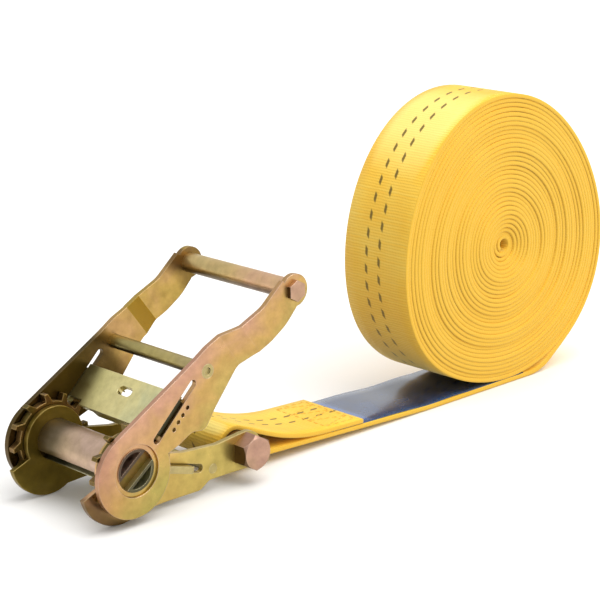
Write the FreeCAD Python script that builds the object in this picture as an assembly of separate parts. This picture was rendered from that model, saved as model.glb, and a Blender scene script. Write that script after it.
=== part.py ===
import FreeCAD, Part
import math
import os

# Ratchet tie down for 50 mm webbing, the endless kind: the webbing is sewn round the
# anchor bolt of the ratchet, and its long free end is rolled up beside it.
# Lengths are in mm and angles in degrees, measured from +X towards +Z.
# The ratchet is drawn round the axis of its spool, which runs along Y. The near side is -Y.
# place() then puts everything on the ground, with the origin under the middle of the object.

V = FreeCAD.Vector

# webbing
strap_width = 50.0
strap_thick = 2.5
roll_core = 2.5
roll_radius = 84.4
roll_from_spool = 289.0
roll_clearance = 0.4
core_drop = 4.0
run_past_roll = 22.0
lift_radius = 32.0
strap_offset = 2.9
wrap_radius = 9.35
ground_bend_x = 232.0
ground_bend = 300.0
join_along = 66.0
join_bend = 120.0
overlap_along = 86.0
sewn_along = 94.0
label_along = 70.0
label_end_x = 306.0
label_width = 48.0
label_thick = 0.4

# widths across the ratchet, as distances from its middle plane
frame_inner = 28.5
frame_outer = 31.5
wheel_inner = 32.0
wheel_outer = 36.0
handle_inner = 36.8
handle_thick = 3.0
handle_outer = handle_inner + handle_thick
joggle = 4.2
spool_end = 39.2

# frame plates
lobe_x = -5.0
lobe_z = -6.0
lobe_radius = 22.7
lobe_step_angle = 201.5
rim_radius = 17.6
anchor_x = 78.0
anchor_z = -11.5
tail_radius = 10.0
anchor_shank_radius = 6.0
anchor_flats = 17.0
anchor_head = 9.0
anchor_nut_height = 8.0
anchor_chamfer = 0.2
anchor_tube_radius = 8.0
anchor_fit = 0.1
frame_slot_end = 50.0

# spool and ratchet wheels
spool_radius = 11.0
spool_wall = 1.5
slot_half = 3.6
slot_angle = 37.0
running_fit = 0.08
tooth_count = 12
root_radius = 19.4
tip_radius = 23.6
tooth_sink = 0.6
flank_start = 8.2
crest_start = 17.2
crest_end = 22.4
flank_end = 21.6
bush_recess = 1.2
bush_radius = 13.45
handle_eye_radius = 13.5

# handle
handle_lobe_x = -1.5
handle_lobe_z = -2.0
handle_lobe_radius = 22.3
arm_angle = 36.0
joggle_start = 79.0
joggle_end = 90.0
grip_x = 103.5
grip_z = 71.5
grip_radius = 5.4
grip_bore_radius = 3.3
grip_end_radius = 8.7
grip_bolt_radius = 3.0
grip_flats = 10.0
grip_head = 2.4
arm_outer = handle_outer + joggle
rod_x = 47.2
rod_z = 40.4
rod_radius = 3.75
punch_radius = 1.9
punch_depth = 1.0
handle_slot_start = 16.2
handle_slot_end = 54.0
stamp_radius = 1.15

# pawls: each slides along its own ray from the spool axis
handle_pawl_angle = 44.0
handle_pawl_half = 1.75
handle_pawl_tip = 24.0
handle_pawl_outer = 44.0
tab_reach = 21.0
tab_thick = 1.5
spring_depth = -4.6
frame_pawl_angle = -16.0
frame_pawl_half = 1.9
frame_pawl_tip = 19.7
frame_pawl_outer = 40.0
spring_stop_reach = 57.0
spring_stop_radius = 2.5
pawl_slot_gap = 0.35
pawl_slot_end = 1.5
pawl_side_gap = 0.5
frame_web_start = 25.0
ear_overhang = 0.2
ear_start = 21.3
ear_end = 41.5
ear_reach = 38.2
spring_bar_reach = 41.5
spring_bar_thick = 2.0
spring_bar_low = -8.2
spring_bar_high = -3.2
handle_coil = {"radius": 2.1, "wire_radius": 0.4, "turns": 7}
frame_coil = {"radius": 2.6, "wire_radius": 0.45, "turns": 6}

# placing
ground_z = lobe_z - lobe_radius
strap_centre_z = ground_z + strap_thick / 2.0
roll_centre_z = ground_z + strap_thick + label_thick + roll_clearance + roll_radius


def polar(radius, angle):
    return radius * math.cos(math.radians(angle)), radius * math.sin(math.radians(angle))


def disc(radius, y0, y1, x=0.0, z=0.0):
    return Part.makeCylinder(radius, y1 - y0, V(x, y0, z), V(0, 1, 0))


def prism(points, y0, y1):
    corners = [V(x, y0, z) for x, z in points]
    face = Part.Face(Part.makePolygon(corners + corners[:1]))
    return face.extrude(V(0, y1 - y0, 0))


def rounded_prism(points, radii, y0, y1):
    # a prism whose corners are rounded, each with its own radius
    edges = []
    ends = []
    count = len(points)
    for i in range(count):
        before = V(points[i - 1][0], y0, points[i - 1][1])
        here = V(points[i][0], y0, points[i][1])
        after = V(points[(i + 1) % count][0], y0, points[(i + 1) % count][1])
        back = (before - here).normalize()
        ahead = (after - here).normalize()
        half_angle = back.getAngle(ahead) / 2.0
        reach = radii[i] / math.tan(half_angle)
        bisector = (back + ahead).normalize()
        centre = here + bisector * (radii[i] / math.sin(half_angle))
        start = here + back * reach
        end = here + ahead * reach
        if radii[i] > 0:
            middle = centre - bisector * radii[i]
            edges.append(Part.Arc(start, middle, end).toShape())
        ends.append((start, end))
    for i in range(count):
        edges.append(Part.makeLine(ends[i - 1][1], ends[i][0]))
    wire = Part.Wire(Part.__sortEdges__(edges))
    return Part.Face(wire).extrude(V(0, y1 - y0, 0))


def along_ray(shape, angle):
    # turns a shape drawn along +X onto a ray from the spool axis
    turned = shape.copy()
    turned.rotate(V(0, 0, 0), V(0, 1, 0), -angle)
    return turned


def ray_box(r0, r1, y0, y1, h0, h1):
    # a box along +X: r is the distance out, h is the height over the ray
    return Part.makeBox(r1 - r0, y1 - y0, h1 - h0, V(r0, y0, h0))


def ray_slot(r0, r1, half, y0, y1):
    # a slot with round ends along +X
    middle = ray_box(r0 + half, r1 - half, y0, y1, -half, half)
    return middle.fuse([disc(half, y0, y1, r0 + half), disc(half, y0, y1, r1 - half)])


def hexagon(across_flats, y0, y1, x, z):
    # two of its flats face +X and -X
    corner = across_flats / math.sqrt(3.0)
    points = []
    for i in range(6):
        px, pz = polar(corner, 30.0 + 60.0 * i)
        points.append((x + px, z + pz))
    return prism(points, y0, y1)


def mirrored(shape):
    return shape.mirror(V(0, 0, 0), V(0, 1, 0))


def coil_spring(radius, wire_radius, turns, length):
    # an open coil along +X from the origin
    path = Part.makeHelix(length / turns, length, radius)
    ring = Part.Wire(Part.makeCircle(wire_radius, V(radius, 0, 0), V(0, 1, 0)))
    coil = Part.Wire(path).makePipeShell([ring], True, True)
    coil.rotate(V(0, 0, 0), V(0, 1, 0), 90)
    return coil


def belt_angle(dx, dz, gap):
    # the angle whose tangent line touches two circles: dx*sin + dz*cos = gap
    return math.degrees(math.asin(gap / math.hypot(dx, dz)) - math.atan2(dz, dx))


def ribbon(stations, thick, half_width):
    # a band along stations (x, z, heading): straight where the heading stays, else an arc
    near = strap_offset - half_width

    def side(offset):
        edges = []
        for (xa, za, ha), (xb, zb, hb) in zip(stations, stations[1:]):
            na, nb = polar(offset, ha + 90.0), polar(offset, hb + 90.0)
            start, end = V(xa + na[0], near, za + na[1]), V(xb + nb[0], near, zb + nb[1])
            turn = math.radians(hb - ha)
            if abs(turn) < 1e-9:
                edges.append(Part.makeLine(start, end))
                continue
            radius = math.dist((xa, za), (xb, zb)) / (2.0 * math.sin(turn / 2.0))
            to_centre = polar(radius, ha + 90.0)
            from_centre = polar(-(radius - offset), (ha + hb) / 2.0 + 90.0)
            middle = V(xa + to_centre[0] + from_centre[0], near, za + to_centre[1] + from_centre[1])
            edges.append(Part.Arc(start, middle, end).toShape())
        return edges
    left, right = side(thick / 2.0), side(-thick / 2.0)
    first = Part.makeLine(left[0].valueAt(left[0].FirstParameter), right[0].valueAt(right[0].FirstParameter))
    last = Part.makeLine(left[-1].valueAt(left[-1].LastParameter), right[-1].valueAt(right[-1].LastParameter))
    wire = Part.Wire(Part.__sortEdges__(left + right + [first, last]))
    return Part.Face(wire).extrude(V(0, 2.0 * half_width, 0))


# the frame

def frame_plate():
    sweep = [(0.0, 0.0)]
    for angle in (lobe_step_angle, 240.0, 280.0, 320.0, 350.0):
        sweep.append(polar(60.0, angle))
    lobe = disc(lobe_radius, frame_inner, frame_outer, lobe_x, lobe_z)
    lobe = lobe.common(prism(sweep, frame_inner, frame_outer))
    outline = [(0, 0), (17, 2), (36, -1.8), (58, -3.4), (anchor_x - 2, anchor_z + tail_radius),
               (anchor_x - 2, anchor_z - tail_radius), (66, -21.3), (52, -21.3), (46, -25.2),
               (22, -25.0), (-5, -26.5)]
    radii = [0, 3, 8, 8, 0, 0, 8, 4, 6, 12, 0]
    body = rounded_prism(outline, radii, frame_inner, frame_outer)
    plate = lobe.fuse([body, disc(rim_radius, frame_inner, frame_outer),
                       disc(tail_radius, frame_inner, frame_outer, anchor_x, anchor_z)])
    cut_in, cut_out = frame_inner - 1, frame_outer + 1
    stop_x, stop_z = polar(spring_stop_reach, frame_pawl_angle)
    slot = ray_slot(frame_pawl_tip - pawl_slot_end, frame_slot_end, frame_pawl_half + pawl_slot_gap, cut_in, cut_out)
    plate = plate.cut([disc(spool_radius + running_fit, cut_in, cut_out),
                       disc(anchor_shank_radius, cut_in, cut_out, anchor_x, anchor_z),
                       disc(spring_stop_radius, cut_in, cut_out, stop_x, stop_z),
                       along_ray(slot, frame_pawl_angle)])
    return plate.removeSplitter()


def anchor_bolt():
    shank = disc(anchor_shank_radius, -frame_outer, frame_outer + anchor_nut_height, anchor_x, anchor_z)
    head = hexagon(anchor_flats, -frame_outer - anchor_head, -frame_outer, anchor_x, anchor_z)
    narrow = anchor_flats / 2.0 - anchor_chamfer
    height = anchor_head + anchor_chamfer
    crown = Part.makeCone(narrow, narrow + height, height,
                          V(anchor_x, -frame_outer - anchor_head, anchor_z), V(0, 1, 0))
    return shank.fuse(head.common(crown))


def anchor_nut():
    nut = hexagon(anchor_flats, frame_outer, frame_outer + anchor_nut_height, anchor_x, anchor_z)
    hole = disc(anchor_shank_radius, frame_outer, frame_outer + anchor_head, anchor_x, anchor_z)
    narrow = anchor_flats / 2.0 - anchor_chamfer
    height = anchor_nut_height + anchor_chamfer
    crown = Part.makeCone(narrow + height, narrow, height,
                          V(anchor_x, frame_outer - anchor_chamfer, anchor_z), V(0, 1, 0))
    return nut.common(crown).cut(hole)


def anchor_tube():
    tube = disc(anchor_tube_radius, -frame_inner, frame_inner, anchor_x, anchor_z)
    return tube.cut(disc(anchor_shank_radius + anchor_fit, -frame_inner, frame_inner, anchor_x, anchor_z))


def frame_spring_stop():
    x, z = polar(spring_stop_reach, frame_pawl_angle)
    return disc(spring_stop_radius, -frame_outer, frame_outer, x, z)


# the spool

def spool_half(side):
    # a half-round tube: side +1 lies above the strap slot and -1 below it
    far = 2.0 * spool_radius
    outer = disc(spool_radius, -spool_end, spool_end)
    hollow = disc(spool_radius - spool_wall, -spool_end, spool_end)
    keep = ray_box(-far, far, -spool_end, spool_end, slot_half, far)
    keep_hollow = ray_box(-far, far, -spool_end, spool_end, slot_half + spool_wall, far)
    half = outer.common(keep).cut(hollow.common(keep_hollow))
    if side < 0:
        half.rotate(V(0, 0, 0), V(0, 1, 0), 180)
    return along_ray(half, slot_angle)


def ratchet_wheel():
    wheel = disc(root_radius, wheel_inner, wheel_outer)
    pitch = 360.0 / tooth_count
    teeth = []
    for i in range(tooth_count):
        valley = handle_pawl_angle + pitch * i
        flank = [polar(root_radius - tooth_sink, valley + flank_start), polar(tip_radius, valley + crest_start),
                 polar(tip_radius, valley + crest_end), polar(root_radius - tooth_sink, valley + flank_end)]
        teeth.append(prism(flank, wheel_inner, wheel_outer))
    wheel = wheel.fuse(teeth)
    far = 2.0 * spool_radius
    core = disc(spool_radius, wheel_inner, wheel_outer)
    bridge = ray_box(-far, far, wheel_inner, wheel_outer, -slot_half, slot_half)
    return wheel.cut(core.cut(along_ray(bridge, slot_angle))).removeSplitter()


def handle_bush():
    # the ring that the handle turns on
    ring = disc(bush_radius, wheel_outer, handle_outer - bush_recess)
    return ring.cut(disc(spool_radius, wheel_outer, handle_outer))


# the handle

def handle_plate():
    y0, y1 = handle_inner - 1.0, handle_outer + joggle + 1.0
    outline = [(-12.6, 17.5), (39.4, 47.4), (47.5, 52.6), (57, 57.0), (67, 59.8), (82, 66.5), (95.5, 78.0),
               (grip_x, grip_z), (104.5, 62.6), (97, 54.7), (86.5, 48), (76, 43.4), (66, 38), (51, 20),
               (44, 10), (35.5, 11.2), (27, 6.6), (17, 3), (handle_lobe_x, handle_lobe_z)]
    radii = [0, 12, 12, 12, 16, 16, 0, 0, 0, 30, 30, 16, 10, 25, 5, 8, 8, 0, 0]
    plate = rounded_prism(outline, radii, y0, y1)
    plate = plate.fuse([disc(handle_lobe_radius, y0, y1, handle_lobe_x, handle_lobe_z),
                        disc(grip_end_radius, y0, y1, grip_x, grip_z)])
    # the arm steps outwards between two folds, so that the grip end is wider
    fold = [(-60, handle_inner), (joggle_start, handle_inner), (joggle_end, handle_inner + joggle),
            (150, handle_inner + joggle), (150, handle_outer + joggle),
            (joggle_end - 0.6, handle_outer + joggle), (joggle_start - 0.6, handle_outer), (-60, handle_outer)]
    corners = [V(s, y, -90) for s, y in fold]
    sheet = Part.Face(Part.makePolygon(corners + corners[:1])).extrude(V(0, 0, 180))
    plate = plate.common(along_ray(sheet, arm_angle))
    slot = ray_slot(handle_slot_start, handle_slot_end, handle_pawl_half + pawl_slot_gap, y0, y1)
    stamped = [(33.4, 24.6), (30.2, 21.4), (27.2, 18.4), (24.2, 15.2)]
    cuts = [disc(handle_eye_radius, y0, y1), disc(rod_radius, y0, y1, rod_x, rod_z),
            disc(grip_bolt_radius, y0, y1, grip_x, grip_z), along_ray(slot, handle_pawl_angle)]
    cuts += [disc(stamp_radius, y0, y1, x, z) for x, z in stamped]
    return plate.cut(cuts).removeSplitter()


def grip_tube():
    half = handle_inner + joggle
    bore = disc(grip_bore_radius, -half, half, grip_x, grip_z)
    return disc(grip_radius, -half, half, grip_x, grip_z).cut(bore)


def grip_bolt():
    shank = disc(grip_bolt_radius, -arm_outer, arm_outer + grip_head, grip_x, grip_z)
    return shank.fuse(hexagon(grip_flats, -arm_outer - grip_head, -arm_outer, grip_x, grip_z))


def grip_nut():
    nut = hexagon(grip_flats, arm_outer, arm_outer + grip_head, grip_x, grip_z)
    return nut.cut(disc(grip_bolt_radius, arm_outer, arm_outer + grip_head, grip_x, grip_z))


def cross_rod():
    # its two ends are riveted flush, each with a small punch mark
    rod = disc(rod_radius, -handle_outer, handle_outer, rod_x, rod_z)
    marks = [disc(punch_radius, side * handle_outer - punch_depth, side * handle_outer + punch_depth, rod_x, rod_z)
             for side in (-1, 1)]
    return rod.cut(marks)


def handle_spring_bar():
    end = spring_bar_reach + spring_bar_thick
    bar = ray_box(spring_bar_reach, end, -handle_inner, handle_inner, spring_bar_low, spring_bar_high)
    return along_ray(bar, handle_pawl_angle)


# the pawls and their springs

def handle_pawl():
    half = handle_pawl_half
    side_limit = handle_inner - pawl_side_gap
    web = ray_box(tab_reach, handle_pawl_outer, -26.0, 26.0, -half, half)
    full = ray_box(handle_pawl_tip, handle_pawl_outer, -side_limit, side_limit, -half, half)
    ears = ray_box(ear_start, ear_end, -ear_reach, ear_reach, -half, half)
    ears = ears.cut(ray_box(0, 60, -side_limit, side_limit, -9, 9))
    tab = ray_box(tab_reach, tab_reach + tab_thick, -17.0, 17.0, -6.5, -half)
    window = ray_box(33.5, 38.5, -3.0, 3.0, -5, 5)
    rounds = [Part.makeCylinder(2.5, 10, V(36.0, y, -5), V(0, 0, 1)) for y in (-3.0, 3.0)]
    plate = web.fuse([full, ears, tab]).cut([window] + rounds)
    return along_ray(plate.removeSplitter(), handle_pawl_angle)


def handle_pawl_springs():
    start = tab_reach + tab_thick
    wire = handle_coil["wire_radius"]
    springs = []
    for y in (-11.0, 11.0):
        spring = coil_spring(length=spring_bar_reach - start - 2.0 * wire, **handle_coil)
        spring.translate(V(start + wire, y, spring_depth))
        springs.append(along_ray(spring, handle_pawl_angle))
    return Part.makeCompound(springs)


def frame_pawl():
    half = frame_pawl_half
    side_limit = frame_inner - pawl_side_gap
    ear_end_y = wheel_outer + ear_overhang
    web = ray_box(frame_web_start, frame_pawl_outer, -side_limit, side_limit, -half, half)
    ears = ray_box(frame_pawl_tip, frame_pawl_outer, -ear_end_y, ear_end_y, -half, half)
    ears = ears.cut(ray_box(0, 60, -side_limit, side_limit, -9, 9))
    return along_ray(web.fuse(ears).removeSplitter(), frame_pawl_angle)


def frame_pawl_spring():
    wire = frame_coil["wire_radius"]
    room = spring_stop_reach - spring_stop_radius - frame_pawl_outer
    spring = coil_spring(length=room - 2.0 * wire, **frame_coil)
    spring.translate(V(frame_pawl_outer + wire, 0, 0))
    return along_ray(spring, frame_pawl_angle)


# the webbing

def lower_slope():
    # how steeply the lower layer rises from the ground to the anchor
    rise = strap_centre_z + ground_bend - anchor_z
    return belt_angle(ground_bend_x - anchor_x, rise, ground_bend - wrap_radius)


def beside_anchor(along, above):
    # a point given along the sloping lower layer from the anchor's axis, and above its middle
    slope = lower_slope()
    ax, az = polar(along, -slope)
    bx, bz = polar(above - wrap_radius, 90.0 - slope)
    return anchor_x + ax + bx, anchor_z + az + bz


def strap_loop():
    # from the overlap round the anchor tube, and back on top to the sewn end
    slope = lower_slope()
    above = strap_thick + label_thick
    dip = belt_angle(join_along, above - wrap_radius + join_bend, join_bend + wrap_radius) + slope
    off = polar(wrap_radius, 90.0 - dip)
    centre = beside_anchor(join_along, above + join_bend)
    on = polar(join_bend, -90.0 - dip)
    stations = [beside_anchor(overlap_along, 0.0) + (180.0 - slope,),
                beside_anchor(0.0, 0.0) + (180.0 - slope,),
                (anchor_x - wrap_radius, anchor_z, 90.0),
                (anchor_x + off[0], anchor_z + off[1], -dip),
                (centre[0] + on[0], centre[1] + on[1], -dip),
                beside_anchor(join_along, above) + (-slope,),
                beside_anchor(sewn_along, above) + (-slope,)]
    return ribbon(stations, strap_thick, strap_width / 2.0)


def meet_ground(above):
    # the short bend between the slope and the ground, at a height above the strap's middle
    slope = lower_slope()
    radius = ground_bend - above
    off = polar(radius, -90.0 - slope)
    centre_z = strap_centre_z + ground_bend
    return [(ground_bend_x + off[0], centre_z + off[1], -slope), (ground_bend_x, centre_z - radius, 0.0)]


def lift_angle():
    # the slope at which the strap, past the roll, rises from the ground to the outer turn
    rise = roll_centre_z - strap_centre_z - lift_radius
    gap = roll_radius + strap_thick / 2.0 - lift_radius
    lean = math.atan2(run_past_roll, rise)
    return math.degrees(lean + math.acos(gap / math.hypot(run_past_roll, rise)))


def strap_run():
    lift = lift_angle()
    leave_x = roll_from_spool + run_past_roll
    off = polar(lift_radius, lift - 90.0)
    turn = polar(roll_radius + strap_thick / 2.0, lift - 90.0)
    stations = [beside_anchor(overlap_along, 0.0) + (-lower_slope(),)] + meet_ground(0.0) + [
                (leave_x, strap_centre_z, 0.0),
                (leave_x + off[0], strap_centre_z + lift_radius + off[1], lift),
                (roll_from_spool + turn[0], roll_centre_z + turn[1], lift)]
    return ribbon(stations, strap_thick, strap_width / 2.0)


def strap_roll():
    # the outside of the wound strap is a spiral with one step, as high as the webbing
    start = lift_angle() - 90.0
    points = []
    for i in range(37):
        angle = start + 10.0 * i
        x, z = polar(roll_radius + strap_thick * (1.0 - i / 36.0), angle)
        points.append(V(roll_from_spool + x, strap_offset - strap_width / 2.0, roll_centre_z + z))
    turn = Part.BSplineCurve()
    turn.interpolate(points)
    wire = Part.Wire([turn.toShape(), Part.makeLine(points[-1], points[0])])
    roll = Part.Face(wire).extrude(V(0, strap_width, 0))
    return roll.cut(disc(roll_core, -strap_width, strap_width, roll_from_spool, roll_centre_z - core_drop))


def care_label():
    above = (strap_thick + label_thick) / 2.0
    stations = [beside_anchor(label_along, above) + (-lower_slope(),)] + meet_ground(above) + [
                (label_end_x, strap_centre_z + above, 0.0)]
    return ribbon(stations, label_thick, label_width / 2.0)


def left_end():
    # the outer corner of the step in the frame's lobe
    along = lobe_x * polar(1.0, lobe_step_angle)[0] + lobe_z * polar(1.0, lobe_step_angle)[1]
    across = lobe_x * polar(1.0, lobe_step_angle)[1] - lobe_z * polar(1.0, lobe_step_angle)[0]
    reach = along + math.sqrt(lobe_radius ** 2 - across ** 2)
    return polar(reach, lobe_step_angle)[0]


def right_end():
    # the spiral of the roll where it crosses the height of its own centre
    turned = (90.0 - lift_angle()) / 360.0
    return roll_from_spool + roll_radius + strap_thick * (1.0 - turned)


def place(shape):
    moved = shape.copy()
    moved.translate(V(-(left_end() + right_end()) / 2.0, 0, -ground_z))
    return moved


nodes = {
    "frame_plate_near": mirrored(frame_plate()),
    "frame_plate_far": frame_plate(),
    "anchor_bolt": anchor_bolt(),
    "anchor_nut": anchor_nut(),
    "anchor_tube": anchor_tube(),
    "frame_spring_stop": frame_spring_stop(),
    "spool_half_upper": spool_half(1),
    "spool_half_lower": spool_half(-1),
    "ratchet_wheel_near": mirrored(ratchet_wheel()),
    "ratchet_wheel_far": ratchet_wheel(),
    "handle_bush_near": mirrored(handle_bush()),
    "handle_bush_far": handle_bush(),
    "handle_plate_near": mirrored(handle_plate()),
    "handle_plate_far": handle_plate(),
    "grip_tube": grip_tube(),
    "grip_bolt": grip_bolt(),
    "grip_nut": grip_nut(),
    "cross_rod": cross_rod(),
    "handle_spring_bar": handle_spring_bar(),
    "handle_pawl": handle_pawl(),
    "handle_pawl_springs": handle_pawl_springs(),
    "frame_pawl": frame_pawl(),
    "frame_pawl_spring": frame_pawl_spring(),
    "strap_loop": strap_loop(),
    "strap_run": strap_run(),
    "strap_roll": strap_roll(),
    "care_label": care_label(),
}

os.makedirs("parts", exist_ok=True)
print("spool axis at x", round(-(left_end() + right_end()) / 2.0, 3), "z", round(-ground_z, 3))
for name, shape in nodes.items():
    place(shape).exportStep("parts/" + name + ".step")
    print(name, len(shape.Solids), "solids,", round(shape.Volume / 1000.0, 2), "cm3, valid", shape.isValid())
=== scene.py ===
import bpy
import math
import random
from mathutils import Matrix, Vector


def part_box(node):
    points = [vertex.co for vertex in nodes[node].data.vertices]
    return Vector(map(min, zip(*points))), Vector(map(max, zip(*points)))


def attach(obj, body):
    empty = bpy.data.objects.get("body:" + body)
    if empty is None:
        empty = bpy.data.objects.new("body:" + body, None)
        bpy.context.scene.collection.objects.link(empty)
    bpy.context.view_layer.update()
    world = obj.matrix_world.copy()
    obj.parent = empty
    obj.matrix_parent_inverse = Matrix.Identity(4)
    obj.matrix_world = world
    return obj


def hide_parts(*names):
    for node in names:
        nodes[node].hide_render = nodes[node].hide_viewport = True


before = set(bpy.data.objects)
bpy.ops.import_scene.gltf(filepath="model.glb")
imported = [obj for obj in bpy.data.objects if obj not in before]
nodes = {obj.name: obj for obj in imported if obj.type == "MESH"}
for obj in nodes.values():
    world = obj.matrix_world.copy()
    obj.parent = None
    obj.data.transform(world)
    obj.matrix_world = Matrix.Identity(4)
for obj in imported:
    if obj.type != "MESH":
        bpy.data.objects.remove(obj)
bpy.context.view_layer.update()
mm = 0.001
print("frame loaded:", len(nodes), "nodes")


def hexColour(text):
    # sRGB hex to the linear colour that the shaders take
    parts = [int(text[i:i + 2], 16) / 255 for i in (0, 2, 4)]
    return tuple(c / 12.92 if c <= 0.04045 else ((c + 0.055) / 1.055) ** 2.4 for c in parts) + (1.0,)


def addNode(tree, kind, settings=None, links=None, stops=None):
    # a setting is one of the node's own, or else the value of the input with that name or number
    node = tree.nodes.new("ShaderNode" + kind)
    for key, value in (settings or {}).items():
        if isinstance(key, str) and hasattr(node, key):
            setattr(node, key, value)
        else:
            node.inputs[key].default_value = value
    for key, source in (links or {}).items():
        tree.links.new(source, node.inputs[key])
    for i, (place, colour) in enumerate(stops or []):
        stop = node.color_ramp.elements[i] if i < 2 else node.color_ramp.elements.new(place)
        stop.position = place
        stop.color = hexColour(colour)
    return node


def newMaterial(name):
    material = bpy.data.materials.new(name)
    material.use_nodes = True
    material.node_tree.nodes.clear()
    return material, material.node_tree


def polar(radius, degrees):
    return radius * math.cos(math.radians(degrees)), radius * math.sin(math.radians(degrees))


# camera and studio

camera = {
    "aim": (-25.1, 2.9, 76.5),  # mm
    "azimuth": -42.0,
    "elevation": 15.8,
    "roll": -1.6,
    "distance": 1095.0,  # mm
    "lens": 120.0,
}


def addCamera():
    a, e, r = (math.radians(camera[k]) for k in ("azimuth", "elevation", "roll"))
    back = Vector((math.sin(a) * math.cos(e), -math.cos(a) * math.cos(e), math.sin(e)))
    level = Vector((math.cos(a), math.sin(a), 0.0))
    upright = back.cross(level)
    right = level * math.cos(r) + upright * math.sin(r)
    up = upright * math.cos(r) - level * math.sin(r)
    data = bpy.data.cameras.new("viewCamera")
    data.lens = camera["lens"]
    data.sensor_width = 36.0
    data.clip_end = 50.0
    obj = bpy.data.objects.new("viewCamera", data)
    turn = Matrix((right, up, back)).transposed().to_4x4()
    place = (Vector(camera["aim"]) + back * camera["distance"]) * mm
    obj.matrix_world = Matrix.Translation(place) @ turn
    bpy.context.scene.collection.objects.link(obj)
    bpy.context.scene.camera = obj


studio = {
    "floorSize": 24.0,    # m
    "floorDrop": 0.0003,  # m, which keeps the floor clear of the object
    "floorColour": "F8F7F5",
    "world": 0.86,
    "sun": (0.15, -0.2, 1.0),  # where the wide soft light comes from
    "sunStrength": 1.5,
    "sunAngle": 55.0,
    "lamps": [
        # name, place in m, size in m, watts
        ("keyLamp", (0.6, -1.1, 1.1), 1.0, 6.0),
    ],
}


def addStudio():
    half, low = studio["floorSize"] / 2, -studio["floorDrop"]
    corners = [(-half, -half, low), (half, -half, low), (half, half, low), (-half, half, low)]
    mesh = bpy.data.meshes.new("studioFloor")
    mesh.from_pydata(corners, [], [(0, 1, 2, 3)])
    floor = bpy.data.objects.new("studioFloor", mesh)
    bpy.context.scene.collection.objects.link(floor)
    # seamless paper: matt and nearly white
    material, tree = newMaterial("seamless background paper")
    coords = addNode(tree, "TexCoord")
    grain = addNode(tree, "TexNoise", {"Scale": 900.0, "Detail": 3.0}, {"Vector": coords.outputs["Object"]})
    bump = addNode(tree, "Bump", {"Strength": 0.05, "Distance": 0.0002}, {"Height": grain.outputs["Fac"]})
    paper = addNode(tree, "BsdfPrincipled",
                    {"Base Color": hexColour(studio["floorColour"]), "Roughness": 0.9,
                     "Specular IOR Level": 0.1},
                    {"Normal": bump.outputs["Normal"]})
    addNode(tree, "OutputMaterial", links={"Surface": paper.outputs[0]})
    mesh.materials.append(material)
    world = bpy.data.worlds.new("studioWorld")
    world.use_nodes = True
    world.node_tree.nodes["Background"].inputs["Color"].default_value = (1.0, 1.0, 1.0, 1.0)
    world.node_tree.nodes["Background"].inputs["Strength"].default_value = studio["world"]
    bpy.context.scene.world = world
    data = bpy.data.lights.new("wideLight", "SUN")
    data.energy = studio["sunStrength"]
    data.angle = math.radians(studio["sunAngle"])
    wide = bpy.data.objects.new("wideLight", data)
    wide.rotation_euler = Vector(studio["sun"]).to_track_quat("Z", "Y").to_euler()
    bpy.context.scene.collection.objects.link(wide)
    for name, place, size, watts in studio["lamps"]:
        data = bpy.data.lights.new(name, "AREA")
        data.energy = watts
        data.size = size
        lamp = bpy.data.objects.new(name, data)
        lamp.location = place
        lamp.rotation_euler = (Vector(place) - Vector((0.0, 0.0, 0.05))).to_track_quat("Z", "Y").to_euler()
        bpy.context.scene.collection.objects.link(lamp)
    bpy.context.scene.view_settings.view_transform = "Standard"


addCamera()
addStudio()
print("camera and studio ready")


# plated steel

anchorLow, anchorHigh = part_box("anchor_tube")
anchorX, anchorZ = (anchorLow[0] + anchorHigh[0]) / 2, (anchorLow[2] + anchorHigh[2]) / 2
anchorAhead, anchorDrop = 78.0, 11.5  # mm from the spool's axis to the anchor's
spoolX, spoolZ = anchorX - anchorAhead * mm, anchorZ + anchorDrop * mm

plating = {
    "cloud": 26.0,     # mm, size of the colour clouds in the passivate film
    "grain": 0.9,      # mm, drawn about three times as coarse as the rolled grain of the sheet
    "stain": 6.0,      # mm, size of the duller stains
    "edgeWidth": 0.7,  # mm, the rubbed band along an edge
    "bump": 0.16,
}

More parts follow.
